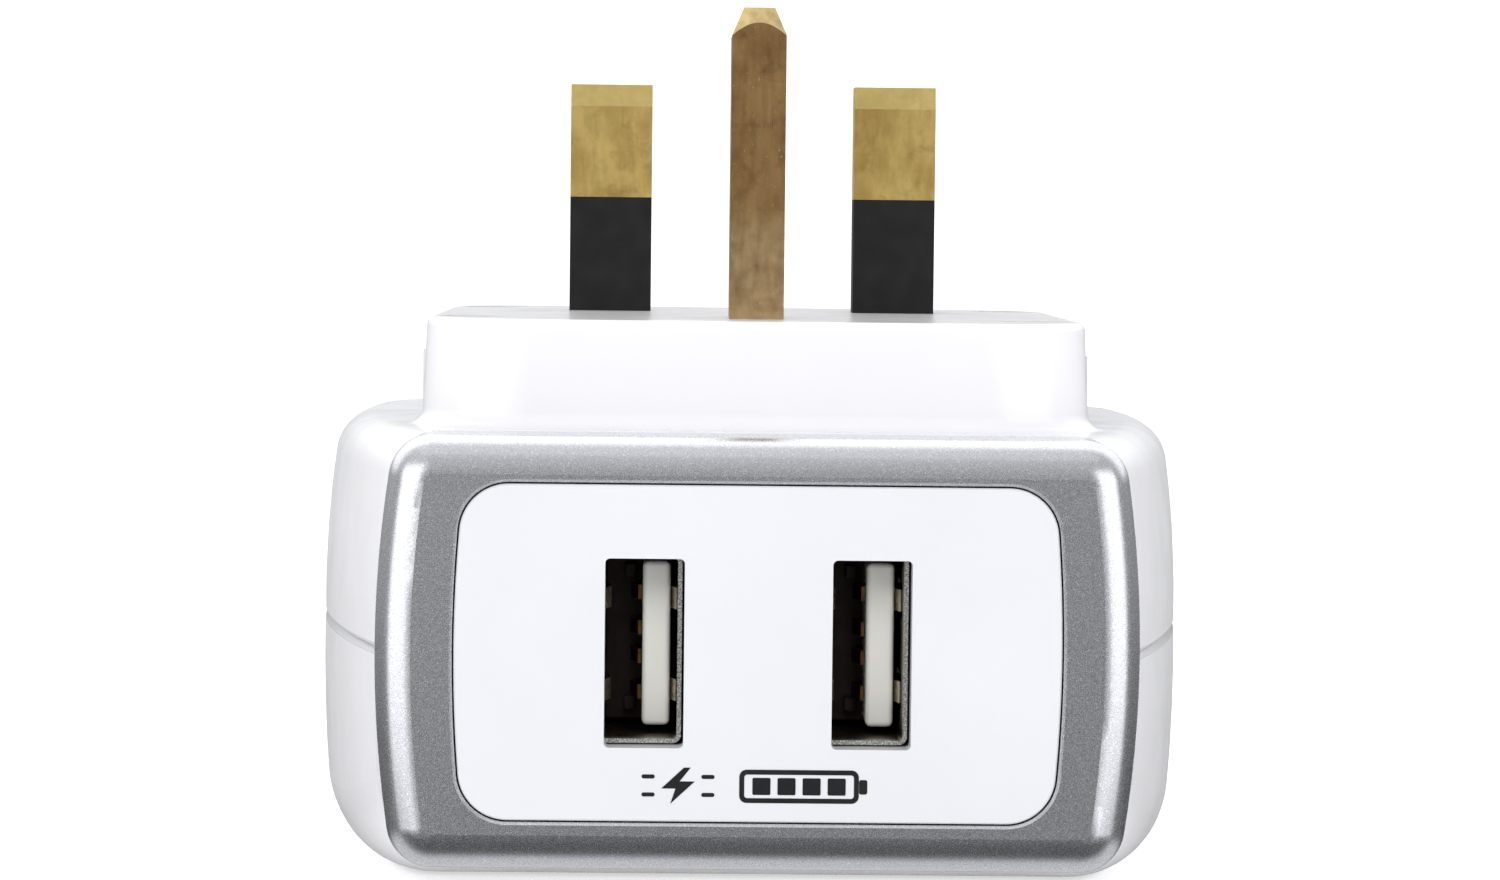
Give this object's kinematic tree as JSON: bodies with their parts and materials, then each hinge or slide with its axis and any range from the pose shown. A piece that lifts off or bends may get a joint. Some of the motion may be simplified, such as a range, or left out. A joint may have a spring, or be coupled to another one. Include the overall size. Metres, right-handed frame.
{
  "type": "usb wall charger",
  "caption": "Plug-in mains charger with a three-pin BS 1363 plug on one face and a metallic-framed panel with upright USB-A ports on the edge face.",
  "frame": {"origin": "middle of the footprint, level with the flat front of the casing that the charger rests on with its pins up", "axes": "+Z along the plug pins towards their tips, -Y out of the face with the USB ports, +X to the right seen from that face; the line pin is on +X"},
  "size_m": [0.066, 0.072, 0.0637],
  "materials": {
    "white_gloss_abs": "glossy moulded ABS",
    "silver_paint": "silver metallic paint with fine sparkle on moulded plastic",
    "panel_white": "satin-gloss moulded ABS",
    "brass": "drawn brass with light tarnish",
    "sleeve_black": "matte moulded nylon",
    "black_moulding": "moulded phenolic or nylon",
    "tinned_metal": "tinned",
    "lead_brown": "PVC insulation",
    "lead_blue": "PVC insulation",
    "zinc_steel": "zinc-plated steel",
    "circuit_board": "glass-epoxy board with green solder mask",
    "capacitor_sleeve": "shrink-sleeved aluminium can",
    "component_black": "moulded epoxy",
    "component_white": "moulded epoxy or ceramic",
    "component_yellow": "moulded film capacitor case",
    "component_blue": "dipped ceramic",
    "ferrite": "sintered ferrite",
    "copper_wire": "enamelled copper wire",
    "tape_yellow": "polyester tape",
    "gilt_contact": "gold-flashed copper alloy",
    "nickel_steel": "nickel-plated steel sheet",
    "tongue_white": "moulded PBT"
  },
  "bodies": {
    "root": {"bezel": "silver_paint", "board_screws": "zinc_steel", "bridge_rectifier": "component_black", "bulk_capacitors": "capacitor_sleeve", "case_screws": "zinc_steel", "charge_chip": "component_black", "choke_core": "ferrite", "choke_winding": "copper_wire", "controller_chip": "component_black", "earth_pin": "brass", "front_cover": "white_gloss_abs", "header_block": "black_moulding", "header_pins": "gilt_contact", "input_fuse": "component_white", "left_usb_contacts": "gilt_contact", "left_usb_insulator": "tongue_white", "left_usb_shell": "nickel_steel", "line_lead": "lead_brown", "line_pin": "brass", "line_pin_sleeve": "sleeve_black", "line_terminal": "tinned_metal", "main_board": "circuit_board", "neutral_lead": "lead_blue", "neutral_pin": "brass", "neutral_pin_sleeve": "sleeve_black", "neutral_terminal": "tinned_metal", "optocoupler": "component_white", "output_capacitors": "capacitor_sleeve", "output_diode": "component_black", "pin_retainer": "black_moulding", "rear_cover": "white_gloss_abs", "retainer_screws": "zinc_steel", "right_usb_contacts": "gilt_contact", "right_usb_insulator": "tongue_white", "right_usb_shell": "nickel_steel", "transformer_bobbin": "black_moulding", "transformer_core_lower": "ferrite", "transformer_core_upper": "ferrite", "transformer_pins": "tinned_metal", "transformer_tape": "tape_yellow", "transformer_winding": "copper_wire", "usb_board": "circuit_board", "usb_panel": "panel_white", "x_capacitor": "component_yellow", "y_capacitor": "component_blue"}
  },
  "joints": []
}
